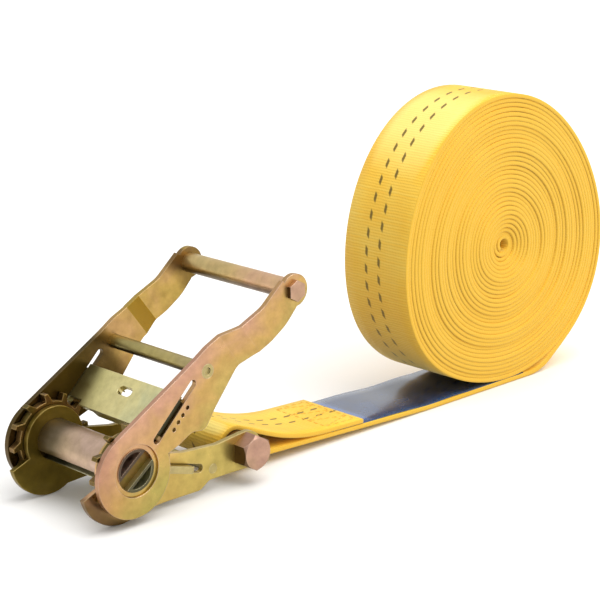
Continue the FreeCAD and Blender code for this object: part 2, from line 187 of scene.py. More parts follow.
# tints: what the film shows from thin to thick; lean: how the film changes along X, Y and Z, per mm
# shades: painted shade, mixed in by the way the surface faces or by its place in mm
# painted shade: undersides of bars and rods, left facets of bolt heads, the spool's far end and the near end
# faces of its halves
undersideShade = {"by": "facing", "way": (-0.34, 0.0, -0.94), "from": 0.3, "to": 0.75,
             "amount": 0.85, "colour": "3A2712"}
leftFacetShade = {"by": "facing", "way": (-0.97, 0.0, -0.24), "from": 0.35, "to": 0.8,
             "amount": 0.85, "colour": "382A10"}
farEndShade = {"by": "place", "way": (0.0, 1.0, 0.0), "from": 3.0, "to": 18.0,
          "amount": 0.75, "colour": "35341A"}
nearFaceShade = {"by": "facing", "way": (0.0, -1.0, 0.0), "from": 0.6, "to": 0.9,
            "amount": 0.85, "colour": "241E10"}
finishes = {
    "handleNear": {"tints": ("C4967C", "C09C5E", "AE9F58"), "start": 0.46, "lean": (0.0106, 0.0, -0.0150),
                   "cloudy": 0.7, "edge": "D6B9A2", "rough": 0.33,
                   # painted shade on the left of the lobe
                   "shades": [{"by": "place", "way": (-1.0, 0.0, 0.0), "from": 8.0, "to": 22.0,
                               "amount": 0.4, "colour": "966A50"}]},
    "handleFar": {"tints": ("B68F68", "B89955", "9A8A3C"), "start": 0.48, "lean": (0.0, 0.0, 0.0),
                  "cloudy": 0.8, "edge": "CFB184", "rough": 0.33,
                  # painted shade on the lower part and round the grip end, and on the tilted joggle face by
                  # the way it faces
                  "shades": [{"by": "place", "way": (0.809, 0.0, 0.588), "from": 66.0, "to": 52.0,
                              "amount": 0.86, "colour": "33270E"},
                             {"by": "place", "way": (0.809, 0.0, 0.588), "from": 110.0, "to": 119.0,
                              "amount": 0.6, "colour": "4A3218"},
                             {"by": "facing", "way": (0.809, 0.0, 0.588), "from": 0.12, "to": 0.3,
                              "amount": 0.8, "colour": "AC8E2E"}]},
    "frameNear": {"tints": ("CF9C82", "CBAC62", "BCA85E"), "start": 0.42, "lean": (0.006, 0.0, 0.0),
                  "cloudy": 0.8, "edge": "D2C092", "rough": 0.33,
                  # painted shade on the lobe behind the handle
                  "shades": [{"by": "place", "way": (-0.6, 0.0, -0.8), "from": 19.0, "to": 27.0,
                              "amount": 0.8, "colour": "4E3E1C"}]},
    # the far frame plate's tints are darkened as painted shade
    "frameFarShaded": {"tints": ("A08A48", "7E6C2C", "5A4E20"), "start": 0.5, "lean": (0.0, 0.0, 0.0),
                 "cloudy": 0.9, "edge": "B9A060", "rough": 0.38, "shades": []},
    "pawl": {"tints": ("E0D694", "E4D89A", "CDD0A6"), "start": 0.45, "lean": (0.0, -0.012, 0.0),
             "cloudy": 0.7, "edge": "EAE4B4", "rough": 0.36,
             # painted shade on the ear ends in the slots and on the end near the far plate
             "shades": [{"by": "place", "way": (0.0, -1.0, 0.0), "from": 36.2, "to": 37.2,
                         "amount": 0.93, "colour": "1C170A"},
                        {"by": "place", "way": (0.0, 1.0, 0.0), "from": 20.0, "to": 34.0,
                         "amount": 0.6, "colour": "3A3818"}]},
    "bar": {"tints": ("DDB490", "D8BA80", "BAAA74"), "start": 0.42, "lean": (0.0, 0.008, 0.0),
            "cloudy": 0.8, "edge": "E0C9A0", "rough": 0.36, "shades": [undersideShade]},
    "rod": {"tints": ("B4A472", "BAAA6C", "968C58"), "start": 0.5, "lean": (0.0, 0.008, 0.0),
            "cloudy": 0.8, "edge": "D2C694", "rough": 0.36, "shades": [undersideShade]},
    "bolt": {"tints": ("BA9280", "B49476", "A59260"), "start": 0.35, "lean": (0.0, 0.0, 0.0),
             "cloudy": 0.9, "edge": "CCB09A", "rough": 0.38, "shades": [leftFacetShade]},
    "spool": {"tints": ("C8AC98", "BFA688", "988A62"), "start": 0.3, "lean": (0.0, 0.006, 0.0),
              "cloudy": 1.0, "edge": "CDB79C", "rough": 0.4, "shades": [farEndShade, nearFaceShade]},
    # paler tints than the upper half: painted light in the spool's slot
    "spoolLowerLit": {"tints": ("DCD4AC", "D2CCA0", "BCB88E"), "start": 0.5, "lean": (0.0, 0.0, 0.0),
                   "cloudy": 0.8, "edge": "DAD3AE", "rough": 0.4, "shades": [farEndShade, nearFaceShade]},
    # dark tints: painted shade on the parts that sit between the plates
    "wheel": {"tints": ("8A6244", "70602F", "4A4722"), "start": 0.45, "lean": (0.0, 0.0, 0.0),
              "cloudy": 1.2, "edge": "BC9C62", "rough": 0.38, "shades": []},
    "wire": {"tints": ("B9A46E", "A7A07A", "8F8C74"), "start": 0.5, "lean": (0.0, 0.0, 0.0),
             "cloudy": 0.6, "edge": "CFC6A2", "rough": 0.3, "shades": []},
}


def yellowZincSteel(name, finish):
    # steel, zinc plated and yellow passivated: a metal whose thin film drifts from rose through
    # gold to green, paler where handling has rubbed the edges, with painted shade mixed in where the finish
    # lists it
    material, tree = newMaterial(name)
    coords = addNode(tree, "TexCoord")
    place = coords.outputs["Object"]
    cloud = addNode(tree, "TexNoise", {"Scale": 1 / (plating["cloud"] * mm), "Detail": 3.0, "Roughness": 0.55,
                                       "Distortion": 0.6}, {"Vector": place})
    cloudPart = addNode(tree, "Math", {"operation": "MULTIPLY_ADD", 1: finish["cloudy"],
                                       2: finish["start"] - finish["cloudy"] / 2}, {0: cloud.outputs["Fac"]})
    home = (spoolX, 0.0, spoolZ)
    fromHome = addNode(tree, "VectorMath", {"operation": "SUBTRACT", 1: home}, {0: place})
    lean = addNode(tree, "VectorMath", {"operation": "DOT_PRODUCT", 1: tuple(v / mm for v in finish["lean"])},
                   {0: fromHome.outputs["Vector"]})
    film = addNode(tree, "Math", {"operation": "ADD", "use_clamp": True},
                   {0: cloudPart.outputs[0], 1: lean.outputs["Value"]})
    rose, gold, green = finish["tints"]
    tint = addNode(tree, "ValToRGB", links={"Fac": film.outputs[0]},
                   stops=[(0.15, rose), (0.85, green), (0.5, gold)])
    fine = addNode(tree, "TexNoise", {"Scale": 1 / (plating["grain"] * mm), "Detail": 4.0, "Roughness": 0.6},
                   {"Vector": place})
    stain = addNode(tree, "TexNoise",
                    {"Scale": 1 / (plating["stain"] * mm), "Detail": 5.0, "Roughness": 0.65},
                    {"Vector": place})
    stainPart = addNode(tree, "MapRange", {"From Min": 0.35, "From Max": 0.75, "To Min": 1.04, "To Max": 0.8},
                        {"Value": stain.outputs["Fac"]})
    stained = addNode(tree, "VectorMath", {"operation": "SCALE"},
                      {0: tint.outputs["Color"], "Scale": stainPart.outputs[0]})
    surface = addNode(tree, "NewGeometry")
    rounded = addNode(tree, "Bevel", {"samples": 4, "Radius": plating["edgeWidth"] * mm})
    facing = addNode(tree, "VectorMath", {"operation": "DOT_PRODUCT"},
                     {0: rounded.outputs["Normal"], 1: surface.outputs["True Normal"]})
    rubbed = addNode(tree, "MapRange", {"From Min": 0.995, "From Max": 0.9, "To Min": 0.0, "To Max": 0.7},
                     {"Value": facing.outputs["Value"]})
    worn = addNode(tree, "Mix", {"data_type": "RGBA", 7: hexColour(finish["edge"])},
                   {0: rubbed.outputs[0], 6: stained.outputs["Vector"]})
    colour = worn.outputs[2]
    # painted shade: each entry darkens or recolours the metal by facing or by place
    for shade in finish["shades"]:
        facingWay = shade["by"] == "facing"
        scale = 1.0 if facingWay else 1 / mm
        way = tuple(v * scale for v in shade["way"])
        toward = addNode(tree, "VectorMath", {"operation": "DOT_PRODUCT", 1: way},
                         {0: coords.outputs["Normal"] if facingWay else fromHome.outputs["Vector"]})
        shadeAmount = addNode(tree, "MapRange", {"interpolation_type": "SMOOTHSTEP", "From Min": shade["from"],
                                          "From Max": shade["to"], "To Min": 0.0, "To Max": shade["amount"]},
                       {"Value": toward.outputs["Value"]})
        shaded = addNode(tree, "Mix", {"data_type": "RGBA", 7: hexColour(shade["colour"])},
                         {0: shadeAmount.outputs[0], 6: colour})
        colour = shaded.outputs[2]
    rough = addNode(tree, "MapRange", {"From Min": 0.3, "From Max": 0.7, "To Min": finish["rough"] - 0.07,
                                       "To Max": finish["rough"] + 0.1}, {"Value": stain.outputs["Fac"]})
    height = addNode(tree, "Math", {"operation": "MULTIPLY_ADD", 1: 0.5},
                     {0: fine.outputs["Fac"], 2: stain.outputs["Fac"]})
    bump = addNode(tree, "Bump", {"Strength": plating["bump"], "Distance": 0.0001},
                   {"Height": height.outputs[0], "Normal": rounded.outputs["Normal"]})
    metal = addNode(tree, "BsdfPrincipled", {"Metallic": 1.0},
                    {"Base Color": colour, "Roughness": rough.outputs[0], "Normal": bump.outputs["Normal"]})
    addNode(tree, "OutputMaterial", links={"Surface": metal.outputs[0]})
    return material


finishOf = {
    "handle_plate_near": "handleNear",
    "handle_plate_far": "handleFar",
    "frame_plate_near": "frameNear",
    "frame_plate_far": "frameFarShaded",
    "handle_pawl": "pawl",
    "frame_pawl": "rod",
    "cross_rod": "rod",
    "handle_spring_bar": "wheel",
    "frame_spring_stop": "rod",
    "anchor_tube": "wheel",
    "grip_tube": "bar",
    "anchor_bolt": "bolt",
    "anchor_nut": "bolt",
    "grip_bolt": "bolt",
    "grip_nut": "bolt",
    "spool_half_upper": "spool",
    "spool_half_lower": "spoolLowerLit",
    "handle_bush_near": "handleNear",
    "handle_bush_far": "wheel",
    "ratchet_wheel_near": "wheel",
    "ratchet_wheel_far": "wheel",
    "handle_pawl_springs": "wire",
    "frame_pawl_spring": "wire",
}


def finishMetal():
    made = {}
    for node, finish in finishOf.items():
        if finish not in made:
            made[finish] = yellowZincSteel("yellow zinc plated steel, " + finish, finishes[finish])
        obj = nodes[node]
        if not obj.material_slots:
            obj.data.materials.append(None)
        for slot in obj.material_slots:
            slot.link = "OBJECT"
            slot.material = made[finish]


finishMetal()
print("plated steel ready")


# webbing

webbing = {
    "width": 49.6,       # mm
    "thickness": 2.43,
    "rounding": 0.35,    # of the two edges
    "pitch": 2.5,        # from one turn of the roll to the next
    "offset": 2.9,       # towards the far plate
    "coreRadius": 3.7,   # middle of the innermost turn
    "coreDrop": 4.0,     # how far the core sits below the middle of the roll
    "rollRadius": 84.4,
    "rollFromSpool": 289.0,
    "rollClearance": 0.4,
    "heel": 3.2,         # the bulge low down on the ratchet's side
    "heelAngle": -142.0,
    "heelSpread": 28.0,
    "slump": ((-0.9, 0.0), (1.7, -1.6), (-1.0, -1.5), (0.3, -1.6)),  # mm out of round, wave by wave
    "runPastRoll": 22.0,
    "liftRadius": 32.0,
    "labelGap": 0.4,
    "wrapRadius": 9.35,
    "groundBendStart": 232.0,
    "groundBend": 300.0,
    "joinAlong": 66.0,   # along the lower layer from the anchor, where the upper layer meets it
    "joinBend": 120.0,
    "sewnAlong": 94.0,
    "groundDrop": 28.7,  # from the spool's axis down to the ground
    "stepDegrees": 3.0,
    "step": 1.5,
    "sideways": 0.7,     # how far a turn of the roll slips to one side
    "slipShares": (0.7, 0.6),  # by chance, and as a slow wave from turn to turn
    "slipWave": 0.9,
    "coreSunk": 2.6,     # the innermost turns sit deeper
    "sunkRadius": (6.0, 13.0),
    "looseShift": (0.9, 0.7),  # the first turn round the core is slack on one side
    "looseRadius": (4.5, 8.5),
    "wobble": ((0.3, 2, 9.0, 0.0), (0.25, 3, -6.0, 1.3)),  # size, waves round, mm outwards per radian, start
    "wobbleFrom": (10.0, 26.0),
    "wobbleTo": (68.0, 80.0),
    "leaveBulge": 3.5,   # slump where the webbing leaves the roll
    "seed": 11,
}
strapLow = -webbing["groundDrop"] + webbing["pitch"] / 2
rollCentre = (webbing["rollFromSpool"], -webbing["groundDrop"] + webbing["pitch"] + webbing["labelGap"]
              + webbing["rollClearance"] + webbing["rollRadius"])


def slump(degrees):
    # the wound roll has settled a little out of round; outwards is positive
    total = 0.0
    for k, (evenPart, oddPart) in enumerate(webbing["slump"]):
        phase = k * math.radians(degrees)
        total += evenPart * math.cos(phase) + oddPart * math.sin(phase)
    away = (degrees - webbing["heelAngle"] + 180) % 360 - 180
    return total + webbing["heel"] * math.exp(-(away / webbing["heelSpread"]) ** 2)


def liftAngle():
    # the slope at which the strap rises from the ground to the outer turn
    rise = rollCentre[1] - strapLow - webbing["liftRadius"]
    gap = webbing["rollRadius"] + webbing["leaveBulge"] + webbing["pitch"] / 2 - webbing["liftRadius"]
    slant = math.hypot(webbing["runPastRoll"], rise)
    return math.degrees(math.atan2(webbing["runPastRoll"], rise) + math.acos(gap / slant))


def smooth(low, high, value):
    t = min(max((value - low) / (high - low), 0.0), 1.0)
    return t * t * (3 - 2 * t)


def rollStations():
    # the wound part from the core outwards: x, z and sideways slip, in mm from the spool's axis
    w = webbing
    lift = liftAngle()
    outer = w["rollRadius"] + w["pitch"] / 2
    turns = (outer - w["coreRadius"]) / w["pitch"]
    dice = random.Random(w["seed"])
    byChance, byWave = w["slipShares"]
    slips = [w["sideways"] * (byChance * dice.uniform(-1, 1) + byWave * math.sin(w["slipWave"] * i))
             for i in range(int(turns) + 3)]
    found = []
    count = int(turns * 360 / w["stepDegrees"])
    for i in range(count, -1, -1):
        wound = i * w["stepDegrees"] / 360
        radius = outer - w["pitch"] * wound
        angle = lift - 90 + 360 * wound
        phi = math.radians(angle)
        wobbly = smooth(*w["wobbleFrom"], radius) * (1 - smooth(*w["wobbleTo"], radius))
        drop = w["coreDrop"] * (1 - radius / outer)
        loose = 1 - smooth(*w["looseRadius"], radius)
        turn = int(wound)
        slip = slips[turn] + (slips[turn + 1] - slips[turn]) * smooth(0, 1, wound - turn)
        slip += w["coreSunk"] * (1 - smooth(*w["sunkRadius"], radius))
        radius += slump(angle) * (radius / outer) ** 2
        radius += wobbly * sum(size * math.sin(waves * phi + radius / per + start)
                               for size, waves, per, start in w["wobble"])
        x, z = polar(radius, angle)
        found.append((rollCentre[0] + x + w["looseShift"][0] * loose,
                      rollCentre[1] + z - drop + w["looseShift"][1] * loose, slip))
    return found


def beltAngle(dx, dz, gap):
    # the slope of a line that touches two circles
    return math.degrees(math.asin(gap / math.hypot(dx, dz)) - math.atan2(dz, dx))


def lowerSlope():
    # how steeply the lower layer rises from the ground to the anchor
    w = webbing
    rise = strapLow + w["groundBend"] + anchorDrop
    return beltAngle(w["groundBendStart"] - anchorAhead, rise, w["groundBend"] - w["wrapRadius"])


def besideAnchor(along, above):
    # a point given along the sloping lower layer from the anchor's axis, and above its middle
    ax, az = polar(along, -lowerSlope())
    bx, bz = polar(above - webbing["wrapRadius"], 90 - lowerSlope())
    return anchorAhead + ax + bx, -anchorDrop + az + bz


def meetGround(above):
    # the short bend between the slope and the ground
    radius = webbing["groundBend"] - above
    off = polar(radius, -90 - lowerSlope())
    centreX, centreZ = webbing["groundBendStart"], strapLow + webbing["groundBend"]
    return [(centreX + off[0], centreZ + off[1], -lowerSlope()), (centreX, centreZ - radius, 0)]


def runStations():
    # from the roll down to the ground, along it, round the anchor and back to the sewn end
    w = webbing
    lift, slope, wrap = liftAngle(), lowerSlope(), webbing["wrapRadius"]
    leaveX = w["rollFromSpool"] + w["runPastRoll"]
    anchor = (anchorAhead, -anchorDrop)
    above = w["pitch"] + w["labelGap"]
    dip = beltAngle(w["joinAlong"], above - wrap + w["joinBend"], w["joinBend"] + wrap) + slope
    top = polar(w["rollRadius"] + w["leaveBulge"] + w["pitch"] / 2, lift - 90)
    off = polar(w["liftRadius"], lift - 90)
    leave = polar(wrap, 90 - dip)
    centre = besideAnchor(w["joinAlong"], above + w["joinBend"])
    land = polar(w["joinBend"], -90 - dip)
    bend = meetGround(0)
    # x, z and heading; straight where the heading stays, else an arc
    return [
        (rollCentre[0] + top[0], rollCentre[1] + top[1], lift + 180),
        (leaveX + off[0], strapLow + w["liftRadius"] + off[1], lift + 180),
        (leaveX, strapLow, 180),
        (bend[1][0], bend[1][1], 180),
        (bend[0][0], bend[0][1], 180 - slope),
        besideAnchor(0, 0) + (180 - slope,),
        (anchor[0] - wrap, anchor[1], 90),
        (anchor[0] + leave[0], anchor[1] + leave[1], -dip),
        (centre[0] + land[0], centre[1] + land[1], -dip),
        besideAnchor(w["joinAlong"], above) + (-slope,),
        besideAnchor(w["sewnAlong"], above) + (-slope,),
    ]


def tracePath(stations, step):
    found = []
    for (xa, za, ha), (xb, zb, hb) in zip(stations, stations[1:]):
        span = math.dist((xa, za), (xb, zb))
        turn = math.radians(hb - ha)
        count = max(2, round(span / step))
        for i in range(count):
            t = i / count
            if abs(turn) < 1e-9:
                found.append((xa + (xb - xa) * t, za + (zb - za) * t, 0.0))
            else:
                radius = span / (2 * math.sin(turn / 2))
                cx, cz = polar(radius, ha + 90)
                px, pz = polar(-radius, ha + 90 + (hb - ha) * t)
                found.append((xa + cx + px, za + cz + pz, 0.0))
    found.append((stations[-1][0], stations[-1][1], 0.0))
    return found


def bandProfile(width, thickness, rounding):
    # round the section: across, and out from the middle; the two edges are rounded
    half, out = width / 2, thickness / 2
    flat = half - rounding
    top = [(-flat + 2 * flat * i / 6, out) for i in range(7)]
    edge = [(half - 0.3 * rounding, 0.72 * out), (half, 0.0), (half - 0.3 * rounding, -0.72 * out)]
    bottom = [(y, -n) for y, n in reversed(top)]
    return top + edge + bottom + [(-y, -n) for y, n in edge]


def sweepBand(name, path, profile, width):
    # a closed band along the path, with its length and width in metres as its UVs
    points, faces, uvs = [], [], []
    length = 0.0
    size = len(profile)
    for i, (x, z, slip) in enumerate(path):
        before, after = path[max(i - 1, 0)], path[min(i + 1, len(path) - 1)]
        dx, dz = after[0] - before[0], after[1] - before[1]
        scale = math.hypot(dx, dz)
        outX, outZ = -dz / scale, dx / scale  # to the left of the way the path goes
        if i:
            length += math.dist((x, z), (path[i - 1][0], path[i - 1][1]))
        for y, n in profile:
            points.append((spoolX + (x + outX * n) * mm, (y + slip + webbing["offset"]) * mm,
                           spoolZ + (z + outZ * n) * mm))
            rounded = width / 2 - abs(y)
            # the tip of a rounded edge is laid out 0.8 mm further, as the edge unrolls
            across = width / 2 - y + (math.copysign(0.8, -y) if rounded < 0.01 else 0.0)
            uvs.append((length * mm, across * mm))
    for i in range(len(path) - 1):
        for j in range(size):
            a, b = i * size + j, i * size + (j + 1) % size
            faces.append((a, b, b + size, a + size))
    faces.append(tuple(range(size - 1, -1, -1)))
    last = (len(path) - 1) * size
    faces.append(tuple(range(last, last + size)))
    mesh = bpy.data.meshes.new(name)
    mesh.from_pydata(points, [], faces)
    mesh.update()
    layer = mesh.uv_layers.new(name="lengthAndWidth")
    corners = [0] * len(mesh.loops)
    mesh.loops.foreach_get("vertex_index", corners)
    layer.data.foreach_set("uv", [v for c in corners for v in uvs[c]])
    mesh.polygons.foreach_set("use_smooth", [True] * len(mesh.polygons))
    obj = bpy.data.objects.new(name, mesh)
    bpy.context.scene.collection.objects.link(obj)
    return obj, length


weave = {
    "ribPitch": 1.6,      # mm, one pick of weft, drawn a little coarser than real
    "cordPitch": 1.25,    # mm, one warp cord
    "bend": 0.9,          # mm, how crooked the picks run
    "bendSize": 9.0,
    "fuzz": 0.5,          # mm, size of the loose fibres' grain
    "drift": 38.0,        # mm, size of the clouds in the dye
    "edgeFrom": 0.7,      # mm in from the edge, where the closed edge begins
    "edgeTo": 0.1,
    "lowWay": (-0.75, 0.0, -0.66),     # where the painted shade on the low side faces
    "shoulderWay": (-0.5, 0.0, 0.87),  # where the painted highlight on the shoulder faces
    "tracerRows": (17.8, 27.8),  # mm from the far edge
    "tracerPitch": 10.2,
    "tracerLength": 4.8,
    "tracerWidth": 2.0,
    "tracerSlant": 0.9,
    "yellow": "FFCC40",
    "deepYellow": "F8BD34",
    "paleYellow": "FFDB60",
    # valley, edge and underside colours below are painted shade; the pale shoulder colour is a painted
    # highlight
    "valley": "C8921E",
    "tracer": "5E4C14",
    "edge": "DAAC34",
    "undersideShade": "9C8030",
    "shoulderHighlight": "FFEE90",
    "bump": 0.4,
    "bumpDepth": 0.35,    # mm
}


def wovenPolyester(name):
    # high tenacity polyester webbing, woven and dyed yellow: crosswise ribs with lengthwise cords,
    # a soft sheen at grazing angles, and two rows of dark tracer yarn that surface as dashes
    material, tree = newMaterial(name)
    uv = addNode(tree, "UVMap", {"uv_map": "lengthAndWidth"})
    split = addNode(tree, "SeparateXYZ", links={"Vector": uv.outputs["UV"]})
    along = addNode(tree, "Math", {"operation": "MULTIPLY", 1: 1000.0}, {0: split.outputs["X"]})
    across = addNode(tree, "Math", {"operation": "MULTIPLY", 1: 1000.0}, {0: split.outputs["Y"]})
    place = addNode(tree, "TexCoord").outputs["Object"]

    # weave height
    wobble = addNode(tree, "TexNoise", {"Scale": 1 / (weave["bendSize"] * mm), "Detail": 2.0},
                     {"Vector": place})
    bentAlong = addNode(tree, "Math", {"operation": "MULTIPLY_ADD", 1: weave["bend"]},
                        {0: wobble.outputs["Fac"], 2: along.outputs[0]})
    ribAngle = addNode(tree, "Math", {"operation": "MULTIPLY", 1: 2 * math.pi / weave["ribPitch"]},
                       {0: bentAlong.outputs[0]})
    cordAngle = addNode(tree, "Math", {"operation": "MULTIPLY", 1: 2 * math.pi / weave["cordPitch"]},
                        {0: across.outputs[0]})
    rib = addNode(tree, "Math", {"operation": "SINE"}, {0: ribAngle.outputs[0]})
    cord = addNode(tree, "Math", {"operation": "COSINE"}, {0: cordAngle.outputs[0]})
    ribHeight = addNode(tree, "Math", {"operation": "MULTIPLY_ADD", 1: 0.36, 2: 0.5}, {0: rib.outputs[0]})
    weaveHeight = addNode(tree, "Math", {"operation": "MULTIPLY_ADD", 1: 0.14},
                          {0: cord.outputs[0], 2: ribHeight.outputs[0]})
    fuzz = addNode(tree, "TexNoise", {"Scale": 1 / (weave["fuzz"] * mm), "Detail": 3.0}, {"Vector": place})
    fullHeight = addNode(tree, "Math", {"operation": "MULTIPLY_ADD", 1: 0.25},
                         {0: fuzz.outputs["Fac"], 2: weaveHeight.outputs[0]})
    # the two edges are closed by a locked stitch and look smoother
    half = webbing["width"] / 2
    edgeBand = {"From Min": half - weave["edgeFrom"], "From Max": half - weave["edgeTo"]}
    fromCentre = addNode(tree, "Math", {"operation": "SUBTRACT", 1: half}, {0: across.outputs[0]})
    outward = addNode(tree, "Math", {"operation": "ABSOLUTE"}, {0: fromCentre.outputs[0]})
    calm = addNode(tree, "MapRange", {**edgeBand, "To Min": 1.0, "To Max": 0.4},
                   {"Value": outward.outputs[0]})
    aboveMean = addNode(tree, "Math", {"operation": "SUBTRACT", 1: 0.6}, {0: fullHeight.outputs[0]})
    height = addNode(tree, "Math", {"operation": "MULTIPLY_ADD", 2: 0.6},
                     {0: aboveMean.outputs[0], 1: calm.outputs[0]})

    # dye: slow drift along the length; painted shade between the ribs
    drift = addNode(tree, "TexNoise", {"Scale": 1 / (weave["drift"] * mm), "Detail": 3.0}, {"Vector": place})
    streak = addNode(tree, "TexNoise", {"noise_dimensions": "1D", "Scale": 0.7, "Detail": 2.0},
                     {"W": bentAlong.outputs[0]})
    driftPart = addNode(tree, "Math", {"operation": "MULTIPLY_ADD", 1: 0.45},
                        {0: streak.outputs["Fac"], 2: drift.outputs["Fac"]})
    dye = addNode(tree, "ValToRGB", links={"Fac": driftPart.outputs[0]},
                  stops=[(0.45, weave["deepYellow"]), (1.0, weave["paleYellow"]), (0.7, weave["yellow"])])
    valley = addNode(tree, "MapRange", {"From Min": 0.1, "From Max": 0.62, "To Min": 0.5, "To Max": 0.0},
                     {"Value": height.outputs[0]})
    shaded = addNode(tree, "Mix", {"data_type": "RGBA", 7: hexColour(weave["valley"])},
                     {0: valley.outputs[0], 6: dye.outputs["Color"]})

    # painted shade: the edges, which make the roll's side faces, are drawn deeper, and the side turned down
    # and to the left is darker
    inEdge = addNode(tree, "MapRange", {**edgeBand, "To Min": 0.0, "To Max": 0.9},
                     {"Value": outward.outputs[0]})
    edgeShaded = addNode(tree, "Mix", {"data_type": "RGBA", 7: hexColour(weave["edge"])},
                    {0: inEdge.outputs[0], 6: shaded.outputs[2]})
    surface = addNode(tree, "NewGeometry")
    turned = addNode(tree, "VectorMath", {"operation": "DOT_PRODUCT", 1: weave["lowWay"]},
                     {0: surface.outputs["Normal"]})
    lowSide = addNode(tree, "MapRange", {"From Min": 0.1, "From Max": 1.0, "To Min": 0.0, "To Max": 0.7},
                      {"Value": turned.outputs["Value"]})
    lowShaded = addNode(tree, "Mix", {"data_type": "RGBA", 7: hexColour(weave["undersideShade"])},
                     {0: lowSide.outputs[0], 6: edgeShaded.outputs[2]})

    # painted highlight on the roll's shoulder, where it turns up to the light
    lifted = addNode(tree, "VectorMath", {"operation": "DOT_PRODUCT", 1: weave["shoulderWay"]},
                     {0: surface.outputs["Normal"]})
    shoulder = addNode(tree, "MapRange", {"From Min": 0.88, "From Max": 0.99, "To Min": 0.0, "To Max": 0.6},
                       {"Value": lifted.outputs["Value"]})
    shoulderHighlight = addNode(tree, "Mix", {"data_type": "RGBA", 7: hexColour(weave["shoulderHighlight"])},
                    {0: shoulder.outputs[0], 6: lowShaded.outputs[2]})

    # tracer dashes
    colour = shoulderHighlight.outputs[2]
    for k, row in enumerate(weave["tracerRows"]):
        off = addNode(tree, "Math", {"operation": "SUBTRACT", 1: row}, {0: across.outputs[0]})
        slanted = addNode(tree, "Math", {"operation": "MULTIPLY_ADD", 1: weave["tracerSlant"]},
                          {0: off.outputs[0], 2: bentAlong.outputs[0]})
        turns = addNode(tree, "Math", {"operation": "MULTIPLY_ADD", 1: 1 / weave["tracerPitch"], 2: 0.5 * k},
                        {0: slanted.outputs[0]})
        wave = addNode(tree, "Math", {"operation": "FRACT"}, {0: turns.outputs[0]})
        centred = addNode(tree, "Math", {"operation": "SUBTRACT", 1: 0.5}, {0: wave.outputs[0]})
        fromMiddle = addNode(tree, "Math", {"operation": "ABSOLUTE"}, {0: centred.outputs[0]})
        halfDash = weave["tracerLength"] / weave["tracerPitch"] / 2
        inDash = addNode(tree, "MapRange", {"From Min": halfDash + 0.05, "From Max": halfDash - 0.05,
                                            "To Min": 0.0, "To Max": 1.0}, {"Value": fromMiddle.outputs[0]})
        fromRow = addNode(tree, "Math", {"operation": "ABSOLUTE"}, {0: off.outputs[0]})
        inRow = addNode(tree, "MapRange", {"From Min": weave["tracerWidth"] / 2 + 0.3,
                                           "From Max": weave["tracerWidth"] / 2 - 0.3,
                                           "To Min": 0.0, "To Max": 0.92}, {"Value": fromRow.outputs[0]})
        dash = addNode(tree, "Math", {"operation": "MULTIPLY"}, {0: inDash.outputs[0], 1: inRow.outputs[0]})
        dashed = addNode(tree, "Mix", {"data_type": "RGBA", 7: hexColour(weave["tracer"])},
                         {0: dash.outputs[0], 6: colour})
        colour = dashed.outputs[2]

    bump = addNode(tree, "Bump", {"Strength": weave["bump"], "Distance": weave["bumpDepth"] * mm},
                   {"Height": height.outputs[0]})
    rough = addNode(tree, "MapRange", {"To Min": 0.85, "To Max": 0.62}, {"Value": weaveHeight.outputs[0]})
    cloth = addNode(tree, "BsdfPrincipled",
                    {"Sheen Weight": 0.4, "Sheen Roughness": 0.4, "Sheen Tint": hexColour("FFF0B4"),
                     "Specular IOR Level": 0.35},
                    {"Base Color": colour, "Roughness": rough.outputs[0], "Normal": bump.outputs["Normal"]})
    addNode(tree, "OutputMaterial", links={"Surface": cloth.outputs[0]})
    return material


strapPath = rollStations()[:-1] + tracePath(runStations(), webbing["step"])
strapProfile = bandProfile(webbing["width"], webbing["thickness"], webbing["rounding"])
strap, strapLength = sweepBand("webbing_strap", strapPath, strapProfile, webbing["width"])
strap.data.materials.append(wovenPolyester("woven polyester webbing"))
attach(strap, "frame")
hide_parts("strap_loop", "strap_run", "strap_roll")
print("webbing:", round(strapLength), "mm long,", len(strap.data.polygons), "faces")


# stitching where the end of the webbing is sewn down over the label

stitching = {
    "thread": 0.75,     # mm
    "stitch": 4.2,
    "gap": 0.9,
    "start": 69.0,      # mm along the lower layer from the anchor
    "end": 91.0,
    "half": 20.5,
    "zigzags": 3,
    "sink": 0.28,
    "plySize": 2.2,
    "colour": "F2BE34",
}


def stitchLine():
    s = stitching
    a, b, h = s["start"], s["end"], s["half"]
    box = [(a, -h), (b, -h), (b, h), (a, h), (a, -h)]
    count = 2 * s["zigzags"]
    zigzag = [(b if i % 2 else a, -h + 2 * h * i / count) for i in range(count + 1)]
    return box, zigzag


